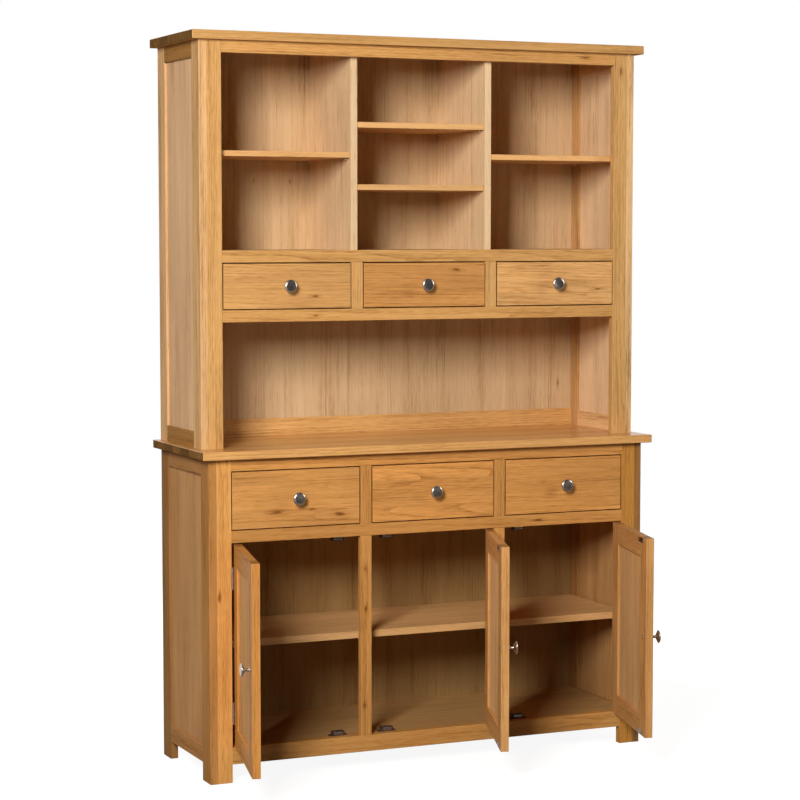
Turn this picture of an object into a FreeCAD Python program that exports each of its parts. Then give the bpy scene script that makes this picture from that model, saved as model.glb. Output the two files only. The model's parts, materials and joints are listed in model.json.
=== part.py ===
import FreeCAD, Part
import math
import os
import re

import Sketcher

# Oak dresser: a three-door, three-drawer base with an open-shelved top that stands on its worktop.
# Millimetres. +X is to the right seen from the front, +Y runs to the back, +Z is up.
# The origin lies on the floor, in the middle of the four legs.
doc = FreeCAD.newDocument("oak_dresser")

driving_sizes = {
    # carcass, shared by the base and the top part
    "carcass_width": "1208",
    "frame_thick": "20",
    "stile_width": "38",
    "divider_width": "30",
    "board_thick": "18",
    "panel_thick": "8",
    "panel_groove": "8",
    "panel_play": "1",
    "back_thick": "6",
    "back_recess": "6",
    # base
    "base_depth": "370",
    "leg_clear": "46",
    "bottom_rail": "42",
    "door_opening_height": "509",
    "mid_rail": "30",
    "base_drawer_opening": "147",
    "base_top_rail": "30",
    "base_side_stile": "58",
    "base_side_rail": "42",
    "base_back_rail": "40",
    "door_post_thick": "16",
    "filler_depth": "20",
    "base_shelf_height": "242",
    "base_shelf_setback": "1",
    "base_pin_inset": "5",
    "post_peg_length": "14",
    # worktop
    "worktop_thick": "21",
    "worktop_side_lip": "21",
    "worktop_front_lip": "22",
    "worktop_back_lip": "4",
    # top part
    "hutch_depth": "320",
    "open_space_height": "311",
    "low_drawer_rail": "30",
    "hutch_drawer_opening": "117",
    "high_drawer_rail": "30",
    "shelf_space_height": "481",
    "hutch_top_rail": "30",
    "hutch_side_stile": "55",
    "hutch_side_rail": "40",
    "hutch_back_rail": "46",
    "top_board_thick": "22",
    "top_side_lip": "21",
    "top_front_lip": "17",
    # shelves of the top part and their pins
    "shelf_thick": "14",
    "shelf_setback": "3",
    "shelf_play": "1",
    "side_shelf_height": "231",
    "low_shelf_height": "151",
    "high_shelf_height": "307",
    "pin_width": "5",
    "pin_length": "9",
    "pin_seat": "7",
    "pin_pitch": "32",
    "pin_front_inset": "22",
    "pin_back_inset": "24",
    "hole_play": "0.1",
    # drawers
    "drawer_gap": "2.8",
    "drawer_play": "0.5",
    "drawer_lift": "0.3",
    "drawer_side_thick": "12",
    "drawer_bottom_thick": "6",
    "drawer_bottom_rise": "8",
    "drawer_bottom_groove": "5",
    "drawer_back_drop": "8",
    "base_drawer_side_height": "116",
    "base_drawer_length": "300",
    "hutch_drawer_side_height": "90",
    "hutch_drawer_length": "250",
    "runner_width": "22",
    "guide_rise": "15",
    # doors
    "door_thick": "20",
    "door_gap": "2",
    "door_stile": "56",
    "door_rail": "52",
    "left_door_angle": "103",
    "middle_door_angle": "70.5",
    "right_door_angle": "75",
    # butt hinges
    "hinge_height": "55",
    "hinge_inset": "85",
    "hinge_offset": "3.6",
    "knuckle_width": "6.4",
    "knuckle_gap": "0.3",
    "leaf_width": "13",
    "leaf_gap": "0.4",
    "leaf_relief": "0.3",
    "hinge_pin_width": "3",
    "hinge_pin_play": "0.1",
    # magnetic catches and their strike plates
    "catch_inset": "52",
    "catch_width": "32",
    "catch_depth": "14",
    "catch_height": "12",
    "flange_width": "46",
    "flange_thick": "2.5",
    "catch_gap": "0.3",
    "strike_width": "45",
    "strike_height": "12",
    "strike_thick": "1.2",
    "strike_inset": "3",
    # knobs and their screws
    "knob_width": "33",
    "knob_base_width": "14",
    "knob_base_thick": "2",
    "knob_taper": "3",
    "knob_neck_width": "7.5",
    "knob_neck_end": "13.5",
    "knob_flare_end": "19.6",
    "knob_rim": "1.2",
    "knob_crown": "3.2",
    "knob_face_width": "23",
    "knob_bore": "12",
    "knob_edge_inset": "28",
    "screw_width": "4",
    "screw_play": "0.2",
    "thread_play": "0.1",
    "screw_end_gap": "1",
    "screw_head_width": "9",
    "screw_head_thick": "2",
    # plates that hold the top part to the worktop at the back
    "plate_width": "30",
    "plate_thick": "2",
    "plate_drop": "17",
    "plate_rise": "34",
    "plate_place": "400",
}

sheet = doc.addObject("Spreadsheet::Sheet", "sizes")
for row, (size_name, value) in enumerate(driving_sizes.items(), start=1):
    sheet.set(f"A{row}", size_name)
    sheet.set(f"B{row}", value)
    sheet.setAlias(f"B{row}", size_name)
doc.recompute()

nodes = []
SIZE_WORD = re.compile(r"[a-z]+(?:_[a-z]+)+")


def formula(text):
    """A formula in size names, as an expression on the sheet."""
    return SIZE_WORD.sub(lambda word: "sizes." + word.group(0), text)


def bind(piece, prop, text):
    piece.setExpression(prop, formula(text))


def span(*terms):
    """The sum of some formulas, in brackets."""
    return "(" + " + ".join(terms) + ")"


def less(first, *rest):
    return "(" + " - ".join((first,) + rest) + ")"


def minus(text):
    return f"(-{text})"


def mirrored(side, near, far):
    """The span from near to far on the right (+1), or its mirror image on the left (-1)."""
    return (near, far) if side > 0 else (minus(far), minus(near))


def box(name, x, y, z):
    """A board whose low and high faces on each axis are formulas."""
    piece = doc.addObject("Part::Box", name)
    for prop, axis, (low, high) in zip(("Length", "Width", "Height"), "xyz", (x, y, z)):
        bind(piece, prop, f"{high} - {low}")
        bind(piece, f"Placement.Base.{axis}", low)
    return piece


def rod(name, axis, width, start, end, across):
    """A round bar along one axis from start to end; across holds its place on the other two axes."""
    piece = doc.addObject("Part::Cylinder", name)
    turn = {
        "x": FreeCAD.Rotation(FreeCAD.Vector(0, 1, 0), 90),
        "y": FreeCAD.Rotation(FreeCAD.Vector(1, 0, 0), -90),
        "z": FreeCAD.Rotation(),
    }[axis]
    piece.Placement = FreeCAD.Placement(FreeCAD.Vector(), turn)
    bind(piece, "Radius", f"{width} / 2")
    bind(piece, "Height", f"{end} - {start}")
    bind(piece, f"Placement.Base.{axis}", start)
    for other, place in zip([a for a in "xyz" if a != axis], across):
        bind(piece, f"Placement.Base.{other}", place)
    return piece


def cut(base, *tools):
    piece = doc.addObject("Part::Cut", base.Name + "_cut")
    piece.Base = base
    piece.Tool = tools[0] if len(tools) == 1 else group(base.Name + "_tools", tools)
    return piece


def fuse(first, *others):
    piece = doc.addObject("Part::MultiFuse", first.Name + "_fused")
    piece.Shapes = [first, *others]
    return piece


def group(name, pieces):
    """Separate solids kept together as one object."""
    bundle = doc.addObject("Part::Compound", name)
    bundle.Links = list(pieces)
    return bundle


def node(label, *pieces):
    """A sub-part of the dresser: its label names its file."""
    piece = pieces[0] if len(pieces) == 1 else group(label + "_group", pieces)
    piece.Label = label
    nodes.append(piece)
    return piece


# Places across the width
side_inner = less("carcass_width / 2", "frame_thick")
post_inner = less("carcass_width / 2", "frame_thick", "stile_width")
opening_width = f"((2 * {post_inner} - 2 * divider_width) / 3)"
divider_near = f"({opening_width} / 2)"
divider_far = span(divider_near, "divider_width")
divider_middle = span(divider_near, "divider_width / 2")
partition_near = less(divider_middle, "board_thick / 2")
partition_far = span(divider_middle, "board_thick / 2")
openings = {
    "left": (minus(post_inner), minus(divider_far)),
    "middle": (minus(divider_near), divider_near),
    "right": (divider_far, post_inner),
}

# Places from front to back
base_front = "(-base_depth / 2)"
base_back = "(base_depth / 2)"
base_frame_back = span(base_front, "frame_thick")
base_panel_front = span(less(base_back, "frame_thick"), "back_recess")
base_panel_back = span(base_panel_front, "back_thick")
base_rail_face = less(base_back, "frame_thick")
hutch_back = span(base_back, "worktop_back_lip")
hutch_front = less(hutch_back, "hutch_depth")
hutch_frame_back = span(hutch_front, "frame_thick")
hutch_rail_face = less(hutch_back, "frame_thick")
hutch_panel_front = span(hutch_rail_face, "back_recess")
hutch_panel_back = span(hutch_panel_front, "back_thick")

# Levels, from the floor up
floor_top = span("leg_clear", "bottom_rail")
door_head = span(floor_top, "door_opening_height")
base_drawer_floor = span(door_head, "mid_rail")
base_drawer_head = span(base_drawer_floor, "base_drawer_opening")
base_top = span(base_drawer_head, "base_top_rail")
work_top = span(base_top, "worktop_thick")
low_rail_bottom = span(work_top, "open_space_height")
hutch_drawer_floor = span(low_rail_bottom, "low_drawer_rail")
hutch_drawer_head = span(hutch_drawer_floor, "hutch_drawer_opening")
deck_top = span(hutch_drawer_head, "high_drawer_rail")
shelf_head = span(deck_top, "shelf_space_height")
hutch_top = span(shelf_head, "hutch_top_rail")
deck_base = span(door_head, "board_thick")


def framed_panel(name, facing, u, thick, z, stile, rail, foot="0"):
    """Two grooved stiles, two grooved rails with end tongues, and a loose panel in their grooves.

    u is the span across the frame, thick the span through it. facing "side" puts u on Y, "front" on X.
    The stiles run down past the lower rail by foot. Returns the stiles, the rails and the panel.
    """
    def piece(part, across, through, up):
        x, y = (through, across) if facing == "side" else (across, through)
        return box(f"{name}_{part}", x, y, up)

    half = "panel_thick / 2"
    centre = f"(({thick[0]} + {thick[1]}) / 2)"
    groove = (less(centre, half), span(centre, half))
    low_edge, high_edge = span(u[0], stile), less(u[1], stile)
    reach = less("panel_groove", "panel_play")
    inside = (less(low_edge, reach), span(high_edge, reach))
    low_rail_top, high_rail_bottom = span(z[0], rail), less(z[1], rail)
    upright = (less(z[0], foot), z[1])

    stiles = [
        cut(
            piece("stile_low", (u[0], low_edge), thick, upright),
            piece("stile_low_groove", (less(low_edge, "panel_groove"), low_edge), groove, z),
        ),
        cut(
            piece("stile_high", (high_edge, u[1]), thick, upright),
            piece("stile_high_groove", (high_edge, span(high_edge, "panel_groove")), groove, z),
        ),
    ]
    rails = []
    for part, bar, tongue, slot in (
        (
            "rail_low",
            (z[0], low_rail_top),
            (z[0], less(low_rail_top, "panel_groove")),
            (less(low_rail_top, "panel_groove"), low_rail_top),
        ),
        (
            "rail_high",
            (high_rail_bottom, z[1]),
            (span(high_rail_bottom, "panel_groove"), z[1]),
            (high_rail_bottom, span(high_rail_bottom, "panel_groove")),
        ),
    ):
        bar_piece = piece(part, (low_edge, high_edge), thick, bar)
        tongue_piece = piece(part + "_tongue", inside, groove, tongue)
        slot_piece = piece(part + "_groove", (low_edge, high_edge), groove, slot)
        rails.append(cut(fuse(bar_piece, tongue_piece), slot_piece))
    panel = piece("panel_board", inside, groove, (less(low_rail_top, reach), span(high_rail_bottom, reach)))
    return stiles, rails, panel


def pin_holes(name, face, side, y, z):
    """Three round holes, one above the other at the pin pitch, sunk into a face that looks along side."""
    near, far = mirrored(side, "0", "pin_seat")
    sink = (less(face, far), less(face, near))
    width = span("pin_width", "hole_play")
    rise = (minus("pin_pitch"), "0", "pin_pitch")
    return [rod(f"{name}_{i}", "x", width, *sink, (y, span(z, up))) for i, up in enumerate(rise)]


def shelf_pin(name, face, side, y, z):
    """A pin that is seated in a face and stands out of it under a shelf."""
    near, far = mirrored(side, minus("pin_seat"), "pin_length")
    return rod(name, "x", "pin_width", span(face, near), span(face, far), (y, z))


def ccw_arc(centre, first, last):
    """The arc about centre that runs anticlockwise from first to last."""
    circle = Part.Circle(centre, FreeCAD.Vector(0, 0, 1), first.distanceToPoint(centre))
    angles = [math.atan2(p.y - centre.y, p.x - centre.x) for p in (first, last)]
    return Part.ArcOfCircle(circle, *angles)


def knob(name, x, y, z):
    """A turned knob that points along -Y from a face at y, with a blind hole for its screw."""
    body = doc.addObject("PartDesign::Body", name)
    sketch = body.newObject("Sketcher::SketchObject", name + "_outline")
    plane = [f for f in body.Origin.OriginFeatures if f.Role == "XY_Plane"][0]
    sketch.AttachmentSupport = [(plane, "")]
    sketch.MapMode = "FlatFace"

    # half outline, corner by corner: radius along X, projection along -Y
    corners = {
        "bore_mouth": ("(screw_width + thread_play) / 2", "0"),
        "base_edge": ("knob_base_width / 2", "0"),
        "base_rim": ("knob_base_width / 2", "knob_base_thick"),
        "neck_start": ("knob_neck_width / 2", "(knob_base_thick + knob_taper)"),
        "neck_end": ("knob_neck_width / 2", "knob_neck_end"),
        "flare_end": ("knob_width / 2", "knob_flare_end"),
        "rim_end": ("knob_width / 2", "(knob_flare_end + knob_rim)"),
        "face_edge": ("knob_face_width / 2", "(knob_flare_end + knob_rim + knob_crown)"),
        "face_centre": ("0", "(knob_flare_end + knob_rim + knob_crown)"),
        "bore_centre": ("0", "knob_bore"),
        "bore_end": ("(screw_width + thread_play) / 2", "knob_bore"),
    }
    names = list(corners)
    at = [
        FreeCAD.Vector(sheet.evalExpression(formula(radius)), -sheet.evalExpression(formula(reach)), 0)
        for radius, reach in corners.values()
    ]
    ends = []
    for start, a, b in zip(names, at, at[1:] + at[:1]):
        rise, run = b.x - a.x, a.y - b.y
        if start == "rim_end":
            # the rounded rim runs smoothly into the flat face
            centre = FreeCAD.Vector(b.x, b.y + (rise * rise + run * run) / (2 * run), 0)
            sketch.addGeometry(ccw_arc(centre, b, a))
            ends.append((2, 1))
        else:
            sketch.addGeometry(Part.LineSegment(a, b))
            ends.append((1, 2))

    for i, corner in enumerate(names):
        after = (i + 1) % len(names)
        sketch.addConstraint(Sketcher.Constraint("Coincident", i, ends[i][1], after, ends[after][0]))
        for kind, axis, text, sign in zip(("DistanceX", "DistanceY"), (-2, -1), corners[corner], ("", "-")):
            if text == "0":
                sketch.addConstraint(Sketcher.Constraint("PointOnObject", i, ends[i][0], axis))
                continue
            value = at[i].x if kind == "DistanceX" else at[i].y
            held = sketch.addConstraint(Sketcher.Constraint(kind, -1, 1, i, ends[i][0], value))
            sketch.setExpression(f"Constraints[{held}]", formula(f"{sign}{text}"))
    rounding = names.index("rim_end")
    sketch.addConstraint(Sketcher.Constraint("Vertical", rounding, 3, rounding, ends[rounding][1]))

    turned = body.newObject("PartDesign::Revolution", name + "_turned")
    turned.Profile = sketch
    turned.ReferenceAxis = (sketch, ["V_Axis"])
    turned.Angle = 360
    for axis, place in zip("xyz", (x, y, z)):
        bind(body, f"Placement.Base.{axis}", place)
    return body


def knob_with_screw(name, x, face, inner, z):
    """A knob on a face and the screw that holds it from the inner face."""
    tip = span(less(face, "knob_bore"), "screw_end_gap")
    shank = rod(name + "_shank", "y", "screw_width", tip, inner, (x, z))
    head = rod(name + "_head", "y", "screw_head_width", inner, span(inner, "screw_head_thick"), (x, z))
    return [knob(name + "_turning", x, face, z), fuse(shank, head)]


def screw_hole(name, x, face, inner, z):
    return rod(name + "_hole", "y", span("screw_width", "screw_play"), face, inner, (x, z))


def drawer(name, opening, front, floor, opening_height, side_height, length):
    """An inset slab front on a box with a grooved-in bottom, drawn by one knob in its middle."""
    x = (span(opening[0], "drawer_gap"), less(opening[1], "drawer_gap"))
    inner = span(front, "frame_thick")
    box_back = span(inner, length)
    foot = span(floor, "drawer_lift")
    rim = span(foot, side_height)
    middle = f"(({opening[0]} + {opening[1]}) / 2)"
    height = f"({floor} + {opening_height} / 2)"

    front_z = (span(floor, "drawer_gap"), less(span(floor, opening_height), "drawer_gap"))
    slab = box(name + "_slab", x, (front, inner), front_z)
    node(name + "_front", cut(slab, screw_hole(name, middle, front, inner, height)))

    bottom_z = (span(foot, "drawer_bottom_rise"), span(foot, "drawer_bottom_rise", "drawer_bottom_thick"))
    left, right = span(x[0], "drawer_side_thick"), less(x[1], "drawer_side_thick")
    bottom_x = (less(left, "drawer_bottom_groove"), span(right, "drawer_bottom_groove"))
    run = (inner, box_back)
    sides = [
        cut(
            box(name + "_side_left", (x[0], left), run, (foot, rim)),
            box(name + "_groove_left", (bottom_x[0], left), run, bottom_z),
        ),
        cut(
            box(name + "_side_right", (right, x[1]), run, (foot, rim)),
            box(name + "_groove_right", (right, bottom_x[1]), run, bottom_z),
        ),
    ]
    bottom = box(name + "_bottom", bottom_x, run, bottom_z)
    back_y = (less(box_back, "drawer_side_thick"), box_back)
    back = box(name + "_back", (left, right), back_y, (bottom_z[1], less(rim, "drawer_back_drop")))
    node(name + "_box", *sides, back, bottom)
    node(name + "_knob", *knob_with_screw(name + "_pull", middle, front, inner, height))


def hinge(name, side, z):
    """A butt hinge about a local Z axis: the carcass leaf with its pin, and the door leaf.

    The door lies on +X of the axis for side +1 and on -X for side -1. The axis stands in front of the faces.
    """
    low, high = less(z, "hinge_height / 2"), span(z, "hinge_height / 2")
    third = "hinge_height / 3"
    door_z = (span(low, third, "knuckle_gap"), less(high, third, "knuckle_gap"))
    carcass_z = ((low, span(low, third)), (less(high, third), high))
    plate_y = (span("knuckle_width / 2", "leaf_relief"), span("hinge_offset", "leaf_width"))
    web_y = ("0", plate_y[0])

    def leaf(part, leaf_side, knuckles, bore):
        x = mirrored(leaf_side, "leaf_gap / 2", "door_gap / 2")
        pieces = [box(f"{name}_{part}_plate", x, plate_y, (low, high))]
        for i, knuckle in enumerate(knuckles):
            pieces.append(box(f"{name}_{part}_web_{i}", x, web_y, knuckle))
            pieces.append(rod(f"{name}_{part}_knuckle_{i}", "z", "knuckle_width", *knuckle, ("0", "0")))
        return cut(fuse(*pieces), rod(f"{name}_{part}_bore", "z", bore, low, high, ("0", "0")))

    pin = rod(name + "_pin", "z", "hinge_pin_width", low, high, ("0", "0"))
    carcass_leaf = leaf("carcass", -side, carcass_z, "hinge_pin_width")
    door_leaf = leaf("door", side, (door_z,), span("hinge_pin_width", "hinge_pin_play"))
    return [carcass_leaf, pin], door_leaf


def swing(bundle, side, axis_x, angle):
    """Puts pieces drawn about a hinge axis in their place, opened by an angle."""
    bind(bundle, "Placement.Base.x", axis_x)
    bind(bundle, "Placement.Base.y", less(base_front, "hinge_offset"))
    bind(bundle, "Placement.Rotation.Angle", minus(angle) if side > 0 else angle)
    return bundle


def door(name, side, opening, angle):
    """A framed door hung on two butt hinges: side +1 hangs it on its left edge, -1 on its right.

    Its pieces are drawn closed about the hinge axis, then swung open. Returns the carcass half of its hinges.
    """
    axis_x = span(opening[0], "door_gap / 2") if side > 0 else less(opening[1], "door_gap / 2")
    free_edge = less(opening_width, "door_gap * 3 / 2")
    outer, inner = "hinge_offset", span("hinge_offset", "door_thick")
    low, high = span(floor_top, "door_gap"), less(door_head, "door_gap")
    along = mirrored(side, "door_gap / 2", free_edge)
    stiles, rails, panel = framed_panel(
        name, "front", along, (outer, inner), (low, high), "door_stile", "door_rail"
    )

    free = less(free_edge, "knob_edge_inset")
    knob_x = free if side > 0 else minus(free)
    knob_z = f"(({low} + {high}) / 2)"
    hole = screw_hole(name, knob_x, outer, inner, knob_z)
    hung = 0 if side > 0 else 1
    frame = [stiles[hung], cut(stiles[1 - hung], hole), *rails]

    fixed, moving = [], []
    for part, z in (("low", span(low, "hinge_inset")), ("high", less(high, "hinge_inset"))):
        carcass_half, door_half = hinge(f"{name}_hinge_{part}", side, z)
        fixed.extend(carcass_half)
        moving.append(door_half)

    strike_middle = less(opening_width, "door_gap / 2", "catch_inset")
    strike_x = mirrored(
        side, less(strike_middle, "strike_width / 2"), span(strike_middle, "strike_width / 2")
    )
    strike_y = (inner, span(inner, "strike_thick"))
    for part, z in (
        ("low", (span(low, "strike_inset"), span(low, "strike_inset", "strike_height"))),
        ("high", (less(high, "strike_inset", "strike_height"), less(high, "strike_inset"))),
    ):
        moving.append(box(f"{name}_strike_{part}", strike_x, strike_y, z))

    pull = knob_with_screw(name + "_pull", knob_x, outer, inner, knob_z)
    for part, pieces in (("frame", frame), ("panel", [panel]), ("fittings", moving), ("knob", pull)):
        bundle = swing(group(f"{name}_{part}_group", pieces), side, axis_x, angle)
        node(f"{name}_{part}", bundle)
    return swing(group(name + "_hinges_carcass", fixed), side, axis_x, "0")


def catch(name, middle, z, up):
    """A magnetic catch: a narrow housing on a wider fixing flange, hung from a board or stood on one."""
    y_front = span(base_front, "door_thick", "strike_thick", "catch_gap")
    y = (y_front, span(y_front, "catch_depth"))
    pieces = []
    for part, width, height in (
        ("housing", "catch_width", "catch_height"),
        ("flange", "flange_width", "flange_thick"),
    ):
        x = (less(middle, f"{width} / 2"), span(middle, f"{width} / 2"))
        pieces.append(box(f"{name}_{part}", x, y, (z, span(z, height)) if up else (less(z, height), z)))
    return fuse(*pieces)


def side_frames(name, front, back, foot_z, rail_z, top_z, stile, rail, back_panel, back_low):
    """The left and right frames of a carcass, their back stiles grooved for the back panel."""
    frames, panels = {}, []
    for side, part in ((-1, "left"), (1, "right")):
        stiles, rails, panel = framed_panel(
            f"{name}_{part}",
            "side",
            (front, back),
            mirrored(side, side_inner, "carcass_width / 2"),
            (rail_z, top_z),
            stile,
            rail,
            less(rail_z, foot_z),
        )
        slot_x = mirrored(side, side_inner, span(side_inner, "panel_groove"))
        slot = box(f"{name}_{part}_back_slot", slot_x, back_panel, (back_low, top_z))
        frames[side] = {"front": stiles[0], "back": cut(stiles[1], slot), "rails": rails}
        panels.append(panel)
    return frames, panels


def front_pair(name, front, z):
    """The two stiles of a front frame, glued to the inner faces of the side frames."""
    y = (front, span(front, "frame_thick"))
    return [box(f"{name}_{side}", mirrored(side, post_inner, side_inner), y, z) for side in (1, -1)]


def front_rail(name, front, z):
    return box(name, (minus(post_inner), post_inner), (front, span(front, "frame_thick")), z)


def divider_pair(name, y, z):
    return [box(f"{name}_{i}", mirrored(s, divider_near, divider_far), y, z) for i, s in enumerate((-1, 1))]


def guide_spans():
    """The four spans across the width, beside the drawers, that keep them straight."""
    reach = less("drawer_gap", "drawer_play")
    for side in (-1, 1):
        yield mirrored(side, less(post_inner, reach), side_inner)
        yield mirrored(side, less(divider_near, reach), span(divider_far, reach))


inner_x = (minus(side_inner), side_inner)
tongue_reach = less("panel_groove", "panel_play")
back_x = (minus(span(side_inner, tongue_reach)), span(side_inner, tongue_reach))


def back_rail(name, rail_y, panel_y, z, slot_z, tongue_z):
    """A rail between the back stiles, tongued into their slots and grooved for the back panel."""
    bar = fuse(box(name, inner_x, rail_y, z), box(name + "_tongue", back_x, panel_y, tongue_z))
    return cut(bar, box(name + "_groove", inner_x, panel_y, slot_z))


def pinned(stile, name, side, y, heights):
    """A side stile with rows of pin holes in its inner face, and the pins for some shelf undersides."""
    face = side_inner if side > 0 else minus(side_inner)
    holes, pins = [], []
    for i, underside in enumerate(heights):
        z = less(underside, "pin_width / 2")
        holes += pin_holes(f"{name}_holes_{i}", face, -side, y, z)
        pins.append(shelf_pin(f"{name}_pin_{i}", face, -side, y, z))
    return cut(stile, *holes), pins


all_pins = []

# Base: side frames, front frame and back
base_panel_y = (base_panel_front, base_panel_back)
base_frames, base_panels = side_frames(
    "base_side", base_front, base_back, "0", "leg_clear", base_top,
    "base_side_stile", "base_side_rail", base_panel_y, "leg_clear",
)
base_shelf_front = span(base_frame_back, "filler_depth", "base_shelf_setback")
base_shelf_under = span(floor_top, "base_shelf_height")
base_pieces = []
for side, frame in base_frames.items():
    for part, pin_y in (
        ("front", span(base_shelf_front, "base_pin_inset")),
        ("back", less(base_panel_front, "pin_back_inset")),
    ):
        stile, pins = pinned(frame[part], f"base_{part}_{side + 1}", side, pin_y, [base_shelf_under])
        base_pieces.append(stile)
        all_pins += pins
    base_pieces += frame["rails"]
node("base_side_frames", *base_pieces)
node("base_side_panels", *base_panels)

base_front_y = (base_front, base_frame_back)
node("base_front_stiles", *front_pair("base_front_stile", base_front, ("0", base_top)))
node(
    "base_front_rails",
    front_rail("base_bottom_rail", base_front, ("leg_clear", floor_top)),
    front_rail("base_mid_rail", base_front, (door_head, base_drawer_floor)),
    front_rail("base_head_rail", base_front, (base_drawer_head, base_top)),
)
node(
    "base_drawer_dividers",
    *divider_pair("base_divider", base_front_y, (base_drawer_floor, base_drawer_head)),
)

post_back = span(base_front, "door_post_thick")
post_pieces = []
posts = divider_pair("base_post", (base_front, post_back), (floor_top, door_head))
for i, (post, middle) in enumerate(zip(posts, (minus(divider_middle), divider_middle))):
    # a peg in the back of each post carries the front of the shelf between its ends
    peg_place = (middle, less(base_shelf_under, "pin_width / 2"))
    seat = less(post_back, "pin_seat")
    hole = rod(f"base_post_hole_{i}", "y", span("pin_width", "hole_play"), seat, post_back, peg_place)
    post_pieces.append(cut(post, hole))
    peg_end = span(base_shelf_front, "post_peg_length")
    all_pins.append(rod(f"base_post_peg_{i}", "y", "pin_width", seat, peg_end, peg_place))
node("base_door_posts", *post_pieces)

filler_y = (base_frame_back, span(base_frame_back, "filler_depth"))
fillers = [
    box(f"base_filler_{i}", mirrored(side, post_inner, side_inner), filler_y, (floor_top, door_head))
    for i, side in enumerate((-1, 1))
]
node("base_corner_fillers", *fillers)

base_rail_y = (base_rail_face, base_back)
base_back_high = less(base_top, "base_back_rail")
hutch_panel_y = (hutch_panel_front, hutch_panel_back)
hutch_back_high = span(work_top, "hutch_back_rail")
node(
    "back_rails",
    back_rail(
        "base_back_low_rail", base_rail_y, base_panel_y, ("leg_clear", floor_top),
        (less(floor_top, "panel_groove"), floor_top), ("leg_clear", less(floor_top, "panel_groove")),
    ),
    back_rail(
        "base_back_high_rail", base_rail_y, base_panel_y, (base_back_high, base_top),
        (base_back_high, span(base_back_high, "panel_groove")),
        (span(base_back_high, "panel_groove"), base_top),
    ),
    back_rail(
        "hutch_back_low_rail", (hutch_rail_face, hutch_back), hutch_panel_y,
        (work_top, hutch_back_high),
        (less(hutch_back_high, "panel_groove"), hutch_back_high),
        (work_top, less(hutch_back_high, "panel_groove")),
    ),
)
base_back_z = (less(floor_top, tongue_reach), span(base_back_high, tongue_reach))
node("base_back_panel", box("base_back_board", back_x, base_panel_y, base_back_z))

# Base: boards inside and the worktop
base_run = (base_frame_back, base_rail_face)
floor_z = (less(floor_top, "board_thick"), floor_top)
node("base_floor_board", box("base_floor", inner_x, base_run, floor_z))
deck_y = (base_frame_back, base_panel_front)
node("base_drawer_deck", box("base_deck", inner_x, deck_y, (door_head, deck_base)))
base_shelf_x = (minus(less(side_inner, "shelf_play")), less(side_inner, "shelf_play"))
base_shelf_y = (base_shelf_front, less(base_panel_front, "shelf_play"))
base_shelf_z = (base_shelf_under, span(base_shelf_under, "board_thick"))
node("base_shelf", box("base_shelf_board", base_shelf_x, base_shelf_y, base_shelf_z))

# a guide beside each drawer, a runner under it on each free side, and a kicker over both
runner_pieces = []
for i, (left, right) in enumerate(guide_spans()):
    wide_left, wide_right = left, right
    if left != minus(side_inner):
        wide_left = less(left, "runner_width")
        runner_pieces.append(
            box(f"base_runner_left_{i}", (wide_left, left), base_run, (deck_base, base_drawer_floor))
        )
    if right != side_inner:
        wide_right = span(right, "runner_width")
        runner_pieces.append(
            box(f"base_runner_right_{i}", (right, wide_right), base_run, (deck_base, base_drawer_floor))
        )
    guide_z = (deck_base, span(base_drawer_floor, "guide_rise"))
    runner_pieces.append(box(f"base_guide_{i}", (left, right), base_run, guide_z))
    kicker_z = (base_drawer_head, base_top)
    runner_pieces.append(box(f"base_kicker_{i}", (wide_left, wide_right), base_run, kicker_z))
node("base_drawer_runners", *runner_pieces)

worktop_half = span("carcass_width / 2", "worktop_side_lip")
worktop_y = (less(base_front, "worktop_front_lip"), hutch_back)
node("base_worktop", box("worktop", (minus(worktop_half), worktop_half), worktop_y, (base_top, work_top)))

# Top part: side frames with the pins of the outer shelves
hutch_frames, hutch_panels = side_frames(
    "hutch_side", hutch_front, hutch_back, work_top, work_top, hutch_top,
    "hutch_side_stile", "hutch_side_rail", hutch_panel_y, work_top,
)
shelf_front = span(hutch_frame_back, "shelf_setback")
pin_rows = (span(hutch_frame_back, "pin_front_inset"), less(hutch_panel_front, "pin_back_inset"))
side_shelf_under = span(deck_top, "side_shelf_height")
middle_shelf_unders = [span(deck_top, "low_shelf_height"), span(deck_top, "high_shelf_height")]
hutch_pieces = []
for side, frame in hutch_frames.items():
    for part, pin_y in zip(("front", "back"), pin_rows):
        stile, pins = pinned(frame[part], f"hutch_{part}_{side + 1}", side, pin_y, [side_shelf_under])
        hutch_pieces.append(stile)
        all_pins += pins
    hutch_pieces += frame["rails"]
node("hutch_side_frames", *hutch_pieces)
node("hutch_side_panels", *hutch_panels)

# Top part: front frame, decks, partitions and shelves
node("hutch_front_stiles", *front_pair("hutch_front_stile", hutch_front, (work_top, hutch_top)))
node(
    "hutch_front_rails",
    front_rail("hutch_low_rail", hutch_front, (low_rail_bottom, hutch_drawer_floor)),
    front_rail("hutch_high_rail", hutch_front, (hutch_drawer_head, deck_top)),
    front_rail("hutch_head_rail", hutch_front, (shelf_head, hutch_top)),
)
node(
    "hutch_drawer_dividers",
    *divider_pair("hutch_divider", (hutch_front, hutch_frame_back), (hutch_drawer_floor, hutch_drawer_head)),
)
hutch_run = (hutch_frame_back, hutch_panel_front)
guide_z = (hutch_drawer_floor, span(hutch_drawer_floor, "guide_rise"))
guides = [box(f"hutch_guide_{i}", x, hutch_run, guide_z) for i, x in enumerate(guide_spans())]
node("hutch_drawer_guides", *guides)
node(
    "hutch_decks",
    box("hutch_low_deck", inner_x, hutch_run, (less(hutch_drawer_floor, "board_thick"), hutch_drawer_floor)),
    box("hutch_high_deck", inner_x, hutch_run, (less(deck_top, "board_thick"), deck_top)),
)

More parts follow.
